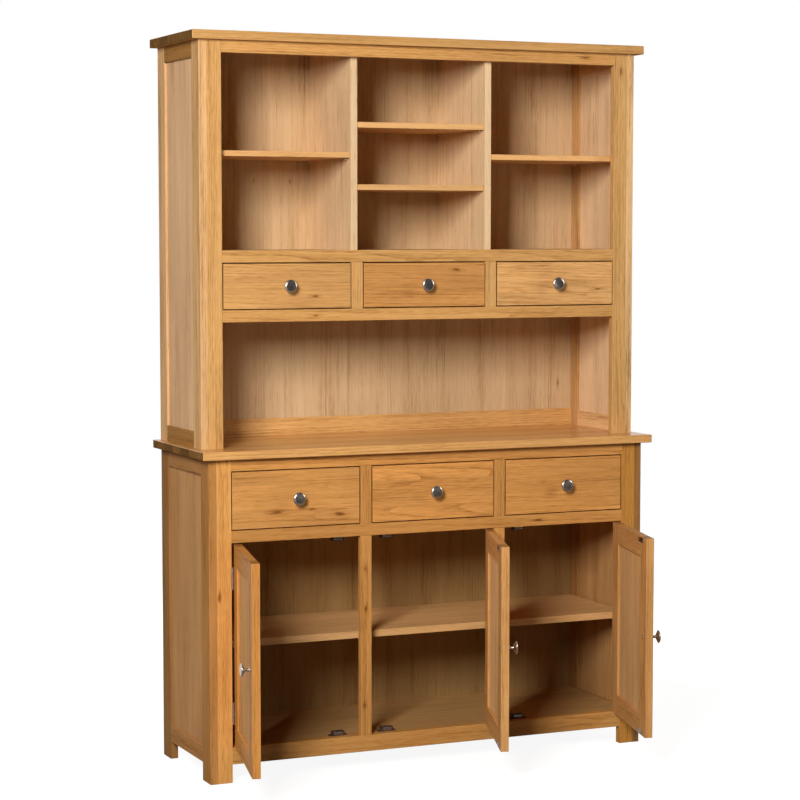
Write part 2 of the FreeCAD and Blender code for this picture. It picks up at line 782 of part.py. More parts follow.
partition_pieces = []
for i, side in enumerate((-1, 1)):
    board_x = mirrored(side, partition_near, partition_far)
    board = box(f"hutch_partition_{i}", board_x, hutch_run, (deck_top, hutch_top))
    near_face, far_face = (board_x if side > 0 else board_x[::-1])
    holes = []
    for row, pin_y in enumerate(pin_rows):
        for face, looks, unders in (
            (far_face, side, [side_shelf_under]),
            (near_face, -side, middle_shelf_unders),
        ):
            for step, underside in enumerate(unders):
                name = f"partition_{i}_{row}_{looks + 1}_{step}"
                pin_z = less(underside, "pin_width / 2")
                holes += pin_holes(name + "_holes", face, looks, pin_y, pin_z)
                all_pins.append(shelf_pin(name + "_pin", face, looks, pin_y, pin_z))
    partition_pieces.append(cut(board, *holes))
node("hutch_partitions", *partition_pieces)

shelf_y = (shelf_front, less(hutch_panel_front, "shelf_play"))
side_shelf = (span(partition_far, "shelf_play"), less(side_inner, "shelf_play"))
middle_half = less(partition_near, "shelf_play")
shelf_pieces = []
for i, (x, underside) in enumerate((
    (mirrored(-1, *side_shelf), side_shelf_under),
    (side_shelf, side_shelf_under),
    ((minus(middle_half), middle_half), middle_shelf_unders[0]),
    ((minus(middle_half), middle_half), middle_shelf_unders[1]),
)):
    shelf_pieces.append(box(f"hutch_shelf_{i}", x, shelf_y, (underside, span(underside, "shelf_thick"))))
node("hutch_shelves", *shelf_pieces)
node("shelf_pins", *all_pins)

# Top part: back panel, top board and the plates at the back
hutch_back_z = (less(hutch_back_high, tongue_reach), span(hutch_top, tongue_reach))
node("hutch_back_panel", box("hutch_back_board", back_x, hutch_panel_y, hutch_back_z))
top_half = span("carcass_width / 2", "top_side_lip")
top_y = (less(hutch_front, "top_front_lip"), hutch_back)
top_groove_half = span(side_inner, "panel_groove")
top_groove_z = (hutch_top, span(hutch_top, "panel_groove"))
node("hutch_top_board", cut(
    box("top_board", (minus(top_half), top_half), top_y, (hutch_top, span(hutch_top, "top_board_thick"))),
    box("top_board_groove", (minus(top_groove_half), top_groove_half), hutch_panel_y, top_groove_z),
))
plate_x = (less("plate_place", "plate_width / 2"), span("plate_place", "plate_width / 2"))
plate_y = (hutch_back, span(hutch_back, "plate_thick"))
plate_z = (less(work_top, "plate_drop"), span(work_top, "plate_rise"))
plates = [box(f"plate_{i}", mirrored(side, *plate_x), plate_y, plate_z) for i, side in enumerate((-1, 1))]
node("hutch_joining_plates", *plates)

# Drawers
for place, opening in openings.items():
    drawer(
        f"hutch_drawer_{place}", opening, hutch_front, hutch_drawer_floor,
        "hutch_drawer_opening", "hutch_drawer_side_height", "hutch_drawer_length",
    )
    drawer(
        f"base_drawer_{place}", opening, base_front, base_drawer_floor,
        "base_drawer_opening", "base_drawer_side_height", "base_drawer_length",
    )

# Doors with their hinges and catches
hinge_halves, catches = [], []
for place, side in (("left", 1), ("middle", -1), ("right", -1)):
    opening = openings[place]
    hinge_halves.append(door(f"door_{place}", side, opening, f"{place}_door_angle"))
    catch_middle = less(opening[1], "catch_inset") if side > 0 else span(opening[0], "catch_inset")
    catches.append(catch(f"catch_{place}_low", catch_middle, floor_top, True))
    catches.append(catch(f"catch_{place}_high", catch_middle, door_head, False))
node("hinge_leaves", *hinge_halves)
node("door_catches", *catches)

doc.recompute()
for piece in doc.Objects:
    if "Invalid" in piece.State or "Error" in piece.State:
        raise RuntimeError(f"{piece.Label}: {piece.State}")
os.makedirs("parts", exist_ok=True)
for piece in nodes:
    if piece.Shape.isNull() or not piece.Shape.isValid():
        raise RuntimeError(f"{piece.Label} has no valid shape")
    piece.Shape.exportStep(f"parts/{piece.Label}.step")
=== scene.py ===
import json
import math

import bmesh
import bpy
import numpy as np
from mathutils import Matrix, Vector


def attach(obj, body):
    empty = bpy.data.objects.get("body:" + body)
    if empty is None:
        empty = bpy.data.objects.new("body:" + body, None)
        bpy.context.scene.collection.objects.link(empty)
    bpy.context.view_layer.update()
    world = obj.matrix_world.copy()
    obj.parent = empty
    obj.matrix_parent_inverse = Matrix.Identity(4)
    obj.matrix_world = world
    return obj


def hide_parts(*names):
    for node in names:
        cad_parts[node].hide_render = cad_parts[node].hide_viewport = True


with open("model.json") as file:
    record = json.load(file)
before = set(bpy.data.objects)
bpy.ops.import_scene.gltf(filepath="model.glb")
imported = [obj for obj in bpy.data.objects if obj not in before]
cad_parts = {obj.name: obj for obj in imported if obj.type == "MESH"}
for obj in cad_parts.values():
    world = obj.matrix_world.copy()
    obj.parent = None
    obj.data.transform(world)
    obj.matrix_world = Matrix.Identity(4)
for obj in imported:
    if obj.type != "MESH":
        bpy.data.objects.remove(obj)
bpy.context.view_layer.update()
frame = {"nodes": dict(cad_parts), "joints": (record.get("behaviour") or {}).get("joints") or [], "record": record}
record = frame["record"]
bodyOf = {node: body for body, members in record["behaviour"]["bodies"].items() for node in members}
hingeOf = {joint["child"]: joint for joint in frame["joints"] if joint["type"] == "hinge"}
draw = np.random.default_rng(41)
print("frame loaded:", len(bodyOf), "nodes")


# a door's points turned about its hinge, from the open rest place to the shut one or back
def swing(points, body, shut=True):
    if body not in hingeOf:
        return points
    joint = hingeOf[body]
    pivot = np.array(joint["pos_m"])
    angle = math.radians(joint["range_deg"][0]) * joint["axis"][2] * (1 if shut else -1)
    turn = np.array([[math.cos(angle), -math.sin(angle), 0], [math.sin(angle), math.cos(angle), 0], [0, 0, 1]])
    return (points - pivot) @ turn.T + pivot


# what a mesh says of each of its elements: one number, or a row of them
def readAll(elements, key, width=1, kind=np.float32):
    values = np.empty(len(elements) * width, kind)
    elements.foreach_get(key, values)
    return values.reshape(-1, width) if width > 1 else values


# a new attribute of a mesh: one number, or a row of three, per element
def writeAll(mesh, name, kind, domain, values):
    key = "vector" if kind == "FLOAT_VECTOR" else "value"
    values = values.astype(np.int32 if kind == "INT" else np.float32)
    mesh.attributes.new(name, kind, domain).data.foreach_set(key, values.ravel())


# corners of a solid closer than step are one; seed and top of the random weights that tell its edges apart
weld = {"step": 2e-6, "seed": 7, "top": 2 ** 40}


# a node's triangles with their corners joined inside each solid: points, triangles, number of the solid per point
def solidsOf(node):
    mesh = frame["nodes"][node].data
    corner = readAll(mesh.loops, "vertex_index", kind=np.int32)
    points = readAll(mesh.vertices, "co", 3)[corner].astype(float)
    cell = np.round(points / weld["step"]).astype(np.int64)
    spot = np.unique(cell, axis=0, return_inverse=True)[1].reshape(-1, 3)
    # a closed solid crosses each edge once each way, so the running sum of signed edge weights is zero at its end
    start, end = spot, np.roll(spot, -1, axis=1)
    edge = np.minimum(start, end) * (spot.max() + 1) + np.maximum(start, end)
    edge = np.unique(edge, return_inverse=True)[1].reshape(-1, 3)
    weight = np.random.default_rng(weld["seed"]).integers(1, weld["top"], edge.max() + 1)
    balance = np.cumsum((weight[edge] * np.sign(end - start)).sum(1))
    solid = np.concatenate([[0], np.cumsum(balance == 0)[:-1]])
    own = solid[:, None] * (spot.max() + 1) + spot
    first, faces = np.unique(own, return_index=True, return_inverse=True)[1:]
    faces = faces.reshape(-1, 3)
    whole = (faces != np.roll(faces, 1, axis=1)).all(1)
    return points[first], faces[whole], np.repeat(solid, 3)[first]


# lowest and highest corner of each solid of a node, with a door's solids shut
def boxesOf(node):
    points, faces, solid = solidsOf(node)
    points = swing(points, bodyOf[node])
    return [(points[solid == i].min(0), points[solid == i].max(0)) for i in range(solid.max() + 1)]


def newPiece(name, points, faces, body, replaced=(), smooth=False):
    mesh = bpy.data.meshes.new(name)
    mesh.from_pydata(points.tolist(), [], faces)
    mesh.validate()
    mesh.polygons.foreach_set("use_smooth", np.full(len(mesh.polygons), smooth))
    piece = bpy.data.objects.new(name, mesh)
    bpy.context.scene.collection.objects.link(piece)
    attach(piece, body)
    if replaced:
        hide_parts(*replaced)
    return piece


# one output of a shader node: sums on wires add Math nodes
class Wire:
    def __init__(self, finish, socket):
        self.finish, self.socket = finish, socket

    def maths(self, operation, *values):
        return self.finish.make("ShaderNodeMath", {"operation": operation}, dict(zip(("Value", "Value_001"), values)))

    def __add__(self, other):
        return self.maths("ADD", self, other)

    def __sub__(self, other):
        return self.maths("SUBTRACT", self, other)

    def __rsub__(self, other):
        return self.maths("SUBTRACT", other, self)

    def __mul__(self, other):
        return self.maths("MULTIPLY", self, other)

    def __truediv__(self, other):
        return self.maths("DIVIDE", self, other)

    def __pow__(self, other):
        return self.maths("POWER", self, other)

    __radd__, __rmul__ = __add__, __mul__

    def whole(self):
        return self.maths("FLOOR", self)

    def limited(self):
        return self.maths("MINIMUM", self.maths("MAXIMUM", self, 0.0), 1.0)

    # 0 up to the first value, 1 from the last, straight between
    def ramp(self, first, last):
        return ((self - first) / (last - first)).limited()

    def most(self, other):
        return self.maths("MAXIMUM", self, other)

    def size(self):
        return self.maths("ABSOLUTE", self)


# a material and its node tree; make adds any node: its settings first, then the values or wires of its sockets
class Finish:
    def __init__(self, name, tree=None):
        if tree is None:
            self.material = bpy.data.materials.new(name)
            self.material.use_nodes = True
            tree = self.material.node_tree
        self.tree = tree
        self.tree.nodes.clear()

    def make(self, kind, settings=None, sockets=None, out=None):
        node = self.tree.nodes.new(kind)
        for key, value in (settings or {}).items():
            if key == "stops":
                ramp = node.color_ramp
                while len(ramp.elements) < len(value):
                    ramp.elements.new(0.5)
                for element, (position, colour) in zip(ramp.elements, value):
                    element.position, element.color = position, (*colour, 1)
            else:
                setattr(node, key, value)
        for key, value in (sockets or {}).items():
            socket = next(s for s in node.inputs if s.identifier == key)
            if isinstance(value, Wire):
                self.tree.links.new(value.socket, socket)
            else:
                socket.default_value = value
        outs = {s.identifier: Wire(self, s) for s in node.outputs}
        if out is None:
            return next(iter(outs.values()), None)
        return [outs[key] for key in out] if isinstance(out, tuple) else outs[out]

    def attribute(self, name, out="Vector"):
        return self.make("ShaderNodeAttribute", {"attribute_name": name}, out=out)

    def split(self, vector):
        return self.make("ShaderNodeSeparateXYZ", sockets={"Vector": vector}, out=("X", "Y", "Z"))

    def joined(self, x, y, z):
        return self.make("ShaderNodeCombineXYZ", sockets={"X": x, "Y": y, "Z": z})

    # maths on two vectors
    def vectors(self, operation, first, second):
        sockets = {"Vector": first, "Vector_001": second}
        return self.make("ShaderNodeVectorMath", {"operation": operation}, sockets)

    def scaled(self, vector, factor):
        return self.make("ShaderNodeVectorMath", {"operation": "SCALE"}, {"Vector": vector, "Scale": factor})

    def length(self, vector):
        return self.make("ShaderNodeVectorMath", {"operation": "LENGTH"}, {"Vector": vector}, "Value")

    # noise whose grains are stretched: cycles per metre along, across and through the board
    def noise(self, place, stretch, detail=2.0, out="Fac"):
        sockets = {
            "Vector": self.vectors("MULTIPLY", place, stretch), "Scale": 1.0, "Detail": detail, "Roughness": 0.55,
        }
        return self.make("ShaderNodeTexNoise", sockets=sockets, out=out)

    def blend(self, share, first, second):
        sockets = {"Factor_Float": share, "A_Color": (*first, 1), "B_Color": (*second, 1)}
        return self.make("ShaderNodeMix", {"data_type": "RGBA"}, sockets, out="Result_Color")

    def bump(self, strength, distance, height):
        return self.make("ShaderNodeBump", sockets={"Strength": strength, "Distance": distance, "Height": height})

    def surface(self, sockets):
        shader = self.make("ShaderNodeBsdfPrincipled", sockets=sockets)
        self.make("ShaderNodeOutputMaterial", sockets={"Surface": shader})
        return self.material


# oak finishes: colours from pale to dark wood, sizes in metres, strengths of rings, bands, streaks, lines and fibres
frameOak = {
    "pale": (0.77, 0.45, 0.175), "middle": (0.63, 0.335, 0.112), "deep": (0.26, 0.11, 0.028),
    "stave": 0.0, "staveTone": 0.0, "ringPitch": 0.006, "ring": 0.34, "band": 0.6, "bandFine": 42,
    "streak": 0.62, "line": 0.2, "fibre": 0.95, "cloud": 0.3, "heartDepth": 0.05, "heartSpread": 0.06,
    "tilt": 0.05, "waver": 0.014, "butt": 0.3, "rough": 0.48, "coat": 0.0, "gloss": 0.1,
}
topOak = {
    **frameOak, "stave": 0.062, "staveTone": 0.2, "heartSpread": 0.09, "butt": 0.62, "coat": 0.8, "gloss": 0.0,
}
capOak = {**topOak, "coat": 0.0, "butt": 0.55}
frontOak = {**frameOak, "stave": 0.068, "staveTone": 0.26, "heartSpread": 0.08, "ring": 0.46, "tilt": 0.09}
sideOak = {
    **frameOak, "pale": (0.79, 0.52, 0.28), "middle": (0.68, 0.425, 0.20), "deep": (0.36, 0.18, 0.06),
    "band": 1.5, "gloss": 0.01,
}
boardOak = {
    **frameOak, "pale": (0.80, 0.54, 0.30), "middle": (0.71, 0.46, 0.235),
    "stave": 0.085, "staveTone": 0.1, "ring": 0.2,
}
panelOak = {
    **frameOak, "pale": (0.79, 0.57, 0.35), "middle": (0.70, 0.485, 0.285), "deep": (0.40, 0.23, 0.095),
    "stave": 0.118, "staveTone": 0.12, "ring": 0.12, "ringPitch": 0.005, "heartSpread": 0.3,
    "band": 1.5, "bandFine": 22, "line": 0.3, "streak": 0.9, "gloss": 0.02,
}
boxOak = {**panelOak, "stave": 0.0, "pale": (0.70, 0.47, 0.24), "middle": (0.60, 0.38, 0.18)}
oakLooks = {
    "frameOak": frameOak, "topOak": topOak, "capOak": capOak, "frontOak": frontOak, "sideOak": sideOak,
    "boardOak": boardOak, "panelOak": panelOak, "boxOak": boxOak,
}
# what all oak shares
oakGrain = {
    "wave": (2.2, 14, 14), "bandRun": 2.2, "streak": (4, 210, 210), "line": (2.5, 300, 300), "fibre": (30, 400, 400),
    "cloud": (3.2, 11, 11),   # noises: cycles per metre along, across and through the board
    "shift": (17, 7, 3), "staveShift": 11, "stavePick": 91, "yearPick": 57,   # set boards, staves and years apart
    "glueWidth": 0.0011, "glueDark": 0.2, "buttTone": 2.0,   # joints of staves, and their tones in end grain
    "heartLeast": 0.3, "lean": 0.03, "ringFall": 2.2, "ringLeast": 0.2,   # heart line and growth rings
    "lineFrom": 0.6, "lineGain": 7.0, "ground": 0.33, "buttDepth": 0.2, "middleAt": 0.45,   # depth of colour
    "wornHighlightPale": 1.06, "wornSmooth": 0.06, "roughFibre": 0.16, "roughRing": 0.08, "coatRough": 0.17,
    "bump": 0.35, "bumpDistance": 0.0006, "bumpFibre": 0.7, "bumpGroove": 0.4,
}

# knots: middle, half sizes of the dark streaks round it
knots = {
    "frameOak": [
        ((-0.579, -0.185, 0.464), (0.011, 0.03, 0.028)), ((-0.190, -0.185, 0.5125), (0.009, 0.03, 0.022)),
        ((-0.188, -0.185, 0.4106), (0.009, 0.03, 0.020)), ((-0.191, -0.185, 0.1655), (0.009, 0.03, 0.020)),
        ((0.5655, -0.131, 1.7776), (0.010, 0.03, 0.026)), ((0.46, -0.131, 1.812), (0.030, 0.03, 0.010)),
        ((-0.30, -0.131, 1.150), (0.032, 0.03, 0.008)), ((0.30, -0.185, 0.612), (0.030, 0.03, 0.008)),
    ],
    "frontOak": [
        ((-0.4263, -0.185, 0.6661), (0.045, 0.03, 0.012)), ((-0.3333, -0.185, 0.6715), (0.020, 0.03, 0.006)),
        ((-0.258, -0.185, 0.6553), (0.040, 0.03, 0.017)), ((0.4981, -0.131, 1.2087), (0.036, 0.03, 0.009)),
        ((-0.30, -0.131, 1.198), (0.030, 0.03, 0.008)), ((0.09, -0.131, 1.262), (0.034, 0.03, 0.009)),
    ],
    "panelOak": [
        ((-0.3506, 0.175, 1.4905), (0.007, 0.03, 0.014)), ((-0.249, 0.175, 1.4901), (0.007, 0.03, 0.014)),
        ((0.545, 0.175, 0.9424), (0.009, 0.03, 0.028)),
    ],
}
# how streaks and fibres fray a knot's rim, and how dark its rim and its core are
knotLook = {"frayStreak": 0.8, "frayFibre": 0.5, "rim": 0.35, "coreFrom": 0.62, "coreGain": 4.0, "core": 0.5}


# oak wood from a board's own grain directions: growth rings are cylinders about a heart line beside the board,
# cut through by the board's faces; bands, streaks, dark lines and fibres run along it, finer and finer;
# a stave is a strip of its own; knots darken the wood round their middles; the rounded edges get a paler copy,
# standing for wear and for a painted highlight where they catch the light
def makeOak(name, look, wornLitEdge=False):
    finish = Finish(name + ("Edge" if wornLitEdge else ""))
    tint, butt = finish.attribute("tint"), finish.attribute("butt", "Fac")
    x, y, z = finish.split(finish.attribute("grain"))
    a, b, c = finish.split(finish.attribute("lot"))
    shade = 1.0 - butt * look["butt"]
    if look["stave"]:
        column = y / look["stave"] + b * oakGrain["staveShift"]
        number = column.whole()
        aside = column - number - 0.5
        seed = finish.joined(number, a * oakGrain["stavePick"], 0.0)
        pick = finish.make("ShaderNodeTexWhiteNoise", {"noise_dimensions": "2D"}, {"Vector": seed}, "Color")
        a, b, c = finish.split(pick)
        y = aside * look["stave"]
        glue = (1.0 - (0.5 - aside.size()) * (look["stave"] / oakGrain["glueWidth"])).limited()
        tone = (a - 0.5) * look["staveTone"] * (butt * oakGrain["buttTone"] + 1.0)
        shade = shade * (1.0 - glue * oakGrain["glueDark"] + tone)
    shift = oakGrain["shift"]
    place = finish.joined(x + a * shift[0], y + b * shift[1], z + c * shift[2])
    wave = finish.split(finish.noise(place, oakGrain["wave"], out="Color"))
    over = y + (wave[0] - 0.5) * look["waver"] - (b - 0.5) * look["heartSpread"] - x * ((a - 0.5) * oakGrain["lean"])
    under = z + (wave[1] - 0.5) * look["waver"] - x * ((b - 0.5) * look["tilt"])
    under = under + (c + oakGrain["heartLeast"]) * look["heartDepth"]
    turn = (over * over + under * under) ** 0.5 / look["ringPitch"]
    year = turn.whole()
    seed = year + a * oakGrain["yearPick"]
    growth = finish.make("ShaderNodeTexWhiteNoise", {"noise_dimensions": "1D"}, {"W": seed}, "Value")
    growth = growth * (1 - oakGrain["ringLeast"]) + oakGrain["ringLeast"]
    ring = (1.0 - (turn - year)) ** oakGrain["ringFall"] * growth
    band = finish.noise(place, (oakGrain["bandRun"], look["bandFine"], look["bandFine"]))
    streak = finish.noise(place, oakGrain["streak"], 3.0)
    line = ((finish.noise(place, oakGrain["line"], 1.0) - oakGrain["lineFrom"]) * oakGrain["lineGain"]).limited()
    fibre = finish.noise(place, oakGrain["fibre"])
    cloud = finish.noise(place, oakGrain["cloud"], 1.0)
    depth = (
        ring * look["ring"] + (band - 0.5) * look["band"] + (streak - 0.5) * look["streak"] + line * look["line"]
        + (fibre - 0.5) * look["fibre"] + butt * oakGrain["buttDepth"] + oakGrain["ground"]
    )
    if name in knots:
        spot = finish.make("ShaderNodeTexCoord", out="Object")
        near = None
        for middle, size in knots[name]:
            apart = finish.vectors("DIVIDE", finish.vectors("SUBTRACT", spot, middle), size)
            share = 1.0 - finish.length(apart)
            near = share if near is None else near.most(share)
        near = near + (streak - 0.5) * knotLook["frayStreak"] + (fibre - 0.5) * knotLook["frayFibre"]
        core = ((near - knotLook["coreFrom"]) * knotLook["coreGain"]).limited()
        depth = depth + near.limited() * knotLook["rim"] + core * knotLook["core"]
    stops = [(0.0, look["pale"]), (oakGrain["middleAt"], look["middle"]), (1.0, look["deep"])]
    colour = finish.make("ShaderNodeValToRGB", {"stops": stops}, {"Fac": depth}, "Color")
    # rounded edges are painted paler: partly wear, partly a painted highlight where they catch the light
    shade = shade * (1.0 + (cloud - 0.5) * look["cloud"]) * (oakGrain["wornHighlightPale"] if wornLitEdge else 1.0)
    rough = look["rough"] - (oakGrain["wornSmooth"] if wornLitEdge else 0.0)
    height = fibre * oakGrain["bumpFibre"] - ring * oakGrain["bumpGroove"] - line * oakGrain["bumpGroove"]
    return finish.surface({
        "Base Color": finish.scaled(finish.vectors("MULTIPLY", colour, tint), shade),
        "Roughness": (fibre - 0.5) * oakGrain["roughFibre"] + (ring * oakGrain["roughRing"] + rough),
        "Normal": finish.bump(oakGrain["bump"], oakGrain["bumpDistance"], height),
        "Specular IOR Level": look["gloss"],
        "Coat Weight": (1.0 - butt) * look["coat"] if look["coat"] else 0.0,
        "Coat Roughness": oakGrain["coatRough"],
    })


boards = {
    "easing": 0.0011,       # rounding of a free edge
    "topEasing": 0.0025,    # rounding of the worktop and the top board
    "jointEasing": 0.2,     # share of it along a glued joint
    "segments": 3,          # facets of a rounding
    "near": 0.0023,         # an edge this close to another board counts as a joint
    "probes": (0.08, 0.92, 7),   # where along an edge that is tried: from, to, number
    "shortest": 0.014,      # edges shorter than this stay sharp
    "sharpest": 0.9,        # and edges between faces that turn less than this, in radians
    "flat": 0.02,           # faces that turn less than this are one
    "square": 1e-4,         # a face that runs less than this along the grain is end grain
    "tone": 0.14,           # how much boards differ in lightness
    "hue": 0.05,            # how much they differ from yellow to red
    "baseTop": 0.826,       # boards below this height belong to the base
    "topTint": (0.92, 0.92, 0.92),    # colour factors of the hutch
    "baseTint": (0.86, 0.74, 0.58),   # and of the base
}
# colour factors of some pieces, of their left and right boards where these differ: they hold the wood's own tone and
# also painted light and shade, paler where a face stands in the light and darker where it lies in shadow
tintsWithPaintedLight = {
    "hutch_partitions": ((1.03, 1.07, 1.16), (1.12, 1.17, 1.27)),
    "hutch_side_frames": ((1.14, 1.06, 1.04), (1.14, 1.1, 1.05)),
    "hutch_side_panels": ((1.17, 1.02, 0.92), (1.2, 1.14, 1.1)),
    "hutch_back_panel": (0.92, 0.90, 0.85),
    "hutch_front_rails": (0.98, 0.93, 0.86),
    "hutch_shelves": (1.13, 0.95, 0.72),
    "hutch_drawer_left_front": (1.08, 1.06, 1.06),
    "hutch_drawer_middle_front": (1.04, 0.87, 0.72),
    "hutch_drawer_right_front": (1.25, 1.22, 1.26),
    # painted sheen: the worktop is made paler and bluer for the pale reflection on its top
    "base_worktop": (1.20, 1.32, 1.62),
    # painted shade: the right side frame and side panel, which line the shaded right cupboard, are made darker
    "base_side_frames": ((0.50, 0.43, 0.34), (0.56, 0.50, 0.42)),
    "base_side_panels": ((0.91, 0.78, 0.64), (0.70, 0.63, 0.52)),
    "base_front_stiles": ((1.24, 1.26, 1.28), (0.88, 0.82, 0.58)),
    # painted shade: the back panel, seen only in the shade inside the cupboards, is made darker
    "base_back_panel": (0.5, 0.49, 0.4),
    "base_shelf": (1.1, 1.12, 1.12),
    # painted shade: the floor board inside the cupboards is made darker for the shade it lies in
    "base_floor_board": (0.74, 0.74, 0.68),
    "base_drawer_left_front": (1.04, 1.06, 1.12),
    "base_drawer_middle_front": (1.21, 1.2, 1.22),
    "base_drawer_right_front": (1.17, 1.13, 1.11),
    # painted light: the door frames and panels are made paler or darker as their faces stand in the light when open,
    # the middle panel most
    "door_left_frame": (0.98, 0.90, 0.80),
    "door_left_panel": (1.22, 1.06, 0.88),
    "door_middle_frame": (1.02, 1.07, 1.3),
    "door_middle_panel": (1.32, 1.32, 1.3),
    "door_right_frame": (1.02, 1.07, 1.3),
    "door_right_panel": (1.12, 1.06, 0.96),
}
# and colour factors in the side frames for their rails, front stiles and back stiles on the left and on the right;
# the hutch's right back stile is painted darker for the shade on it
sideTintsWithPaintedShade = {
    "hutch_side_frames": {
        "railLeft": (0.50, 0.41, 0.21), "frontLeft": (0.97, 0.97, 0.92), "backRight": (0.74, 0.68, 0.60),
    },
    "base_side_frames": {"railLeft": (1.52, 1.50, 1.60), "frontLeft": (1.50, 1.46, 1.40)},
}
plainWood = (1.0, 1.0, 1.0)

# every board of oak and its finish, in the order in which their lots are drawn
oakNodes = {}
for finishName, nodes in (
    ("frameOak", (
        "base_front_stiles", "hutch_front_stiles", "base_front_rails", "hutch_front_rails",
        "base_drawer_dividers", "hutch_drawer_dividers", "base_door_posts", "base_corner_fillers", "back_rails",
        "door_left_frame", "door_middle_frame", "door_right_frame",
    )),
    ("sideOak", ("base_side_frames", "hutch_side_frames")),
    ("topOak", ("base_worktop",)),
    ("capOak", ("hutch_top_board",)),
    ("boardOak", (
        "base_floor_board", "base_shelf", "hutch_shelves", "hutch_decks", "base_drawer_deck", "hutch_partitions",
    )),
    ("panelOak", (
        "base_side_panels", "hutch_side_panels", "base_back_panel", "hutch_back_panel",
        "door_left_panel", "door_middle_panel", "door_right_panel",
    )),
    ("boxOak", ("base_drawer_runners", "hutch_drawer_guides")),
):
    oakNodes.update(dict.fromkeys(nodes, finishName))
for place in ("left", "middle", "right"):
    for part in ("hutch", "base"):
        oakNodes[f"{part}_drawer_{place}_front"] = "frontOak"
        oakNodes[f"{part}_drawer_{place}_box"] = "boxOak"
oakFinishes = {name: [makeOak(name, look), makeOak(name, look, True)] for name, look in oakLooks.items()}
boxesOn = {}
for node in oakNodes:
    for number, (low, high) in enumerate(boxesOf(node)):
        boxesOn.setdefault(bodyOf[node], []).append((node, number, low, high))
print("oak finishes made:", len(oakFinishes))


# share of the easing for each edge: 0 on short or blunt ones, little where the edge lies against another board
def edgeShares(node, points, ends, solid, angles):
    closed = swing(points, bodyOf[node])
    first, last = closed[ends[:, 0]], closed[ends[:, 1]]
    along = first[:, None] + (last - first)[:, None] * np.linspace(*boards["probes"])[None, :, None]
    touched = np.zeros(len(ends), bool)
    for other, number, low, high in boxesOn[bodyOf[node]]:
        inside = ((along > low - boards["near"]) & (along < high + boards["near"])).all(2).any(1)
        if other == node:
            inside &= solid[ends[:, 0]] != number
        touched |= inside
    eased = (np.linalg.norm(last - first, axis=1) > boards["shortest"]) & (angles > boards["sharpest"])
    return np.where(eased, np.where(touched, boards["jointEasing"], 1.0), 0.0)


# copies of the CAD boards with eased edges; each board carries its grain directions and its own random lot;
# grain runs along a board's longest side, and upright in panels
def makeBoards(node, finishName):
    points, faces, solid = solidsOf(node)
    piece = newPiece("oak_" + node, points, faces.tolist(), bodyOf[node], [node])
    mesh = piece.data
    closed = swing(points, bodyOf[node])
    grain, lot, tint = np.zeros((3, len(points), 3))
    for number in range(solid.max() + 1):
        mine = solid == number
        low, high = closed[mine].min(0), closed[mine].max(0)
        middle = (low + high) / 2
        order = list(np.argsort(high - low)[::-1])
        if finishName == "panelOak":
            order.remove(2)
            order.insert(0, 2)
        grain[mine] = (closed[mine] - middle)[:, order]
        lot[mine] = draw.random(3)
        tone, hue = (draw.random(2) - 0.5) * (boards["tone"], boards["hue"])
        # the piece's colour factor, which holds painted light and shade as well as the wood's own tone
        wood = np.array(tintsWithPaintedLight.get(node, plainWood))
        wood = wood[int(middle[0] > 0)] if wood.ndim > 1 else wood
        wood = wood * boards["baseTint" if middle[2] < boards["baseTop"] else "topTint"]
        part = "rail" if order[0] != 2 else "front" if middle[1] < 0 else "back"
        part += "Left" if middle[0] < 0 else "Right"
        wood = wood * sideTintsWithPaintedShade.get(node, {}).get(part, plainWood)
        tint[mine] = wood * (1 + tone) * (1, 1 + hue, 1 + 2 * hue)
    for name, values in (("grain", grain), ("lot", lot), ("tint", tint)):
        writeAll(mesh, name, "FLOAT_VECTOR", "POINT", values)
    writeAll(mesh, "board", "INT", "POINT", solid)

    work = bmesh.new()
    work.from_mesh(mesh)
    bmesh.ops.dissolve_limit(work, angle_limit=boards["flat"], verts=work.verts, edges=work.edges)
    angles = np.array([edge.calc_face_angle(0.0) for edge in work.edges])
    work.to_mesh(mesh)
    work.free()

    points = readAll(mesh.vertices, "co", 3).astype(float)
    ends = readAll(mesh.edges, "vertices", 2, np.int32)
    solid = readAll(mesh.attributes["board"].data, "value", kind=np.int32)
    writeAll(mesh, "bevel_weight_edge", "FLOAT", "EDGE", edgeShares(node, points, ends, solid, angles))

    # faces square to the grain show end grain
    corner = readAll(mesh.loops, "vertex_index", kind=np.int32)
    begin = readAll(mesh.polygons, "loop_start", kind=np.int32)
    run = readAll(mesh.attributes["grain"].data, "vector", 3)[corner, 0]
    reach = np.maximum.reduceat(run, begin) - np.minimum.reduceat(run, begin)
    writeAll(mesh, "butt", "FLOAT", "FACE", reach < boards["square"])

    for material in oakFinishes[finishName]:
        mesh.materials.append(material)
    bevel = piece.modifiers.new("easedEdges", "BEVEL")
    bevel.limit_method = "WEIGHT"
    bevel.width = boards["topEasing" if finishName in ("topOak", "capOak") else "easing"]
    bevel.segments = boards["segments"]
    bevel.use_clamp_overlap = False
    # the rounding takes the paler edge finish, a painted highlight together with wear
    bevel.material = 1


for node, finishName in oakNodes.items():
    makeBoards(node, finishName)
print("boards made:", len(oakNodes), "pieces")


# numbers of the points of closed rings laid one after another, and the quads between each ring and the next
def ringQuads(rings, count):
    at = np.arange(rings * count).reshape(rings, count)
    after = np.roll(at, -1, axis=1)
    return at, np.stack([at[:-1], after[:-1], after[1:], at[1:]], -1).reshape(-1, 4)


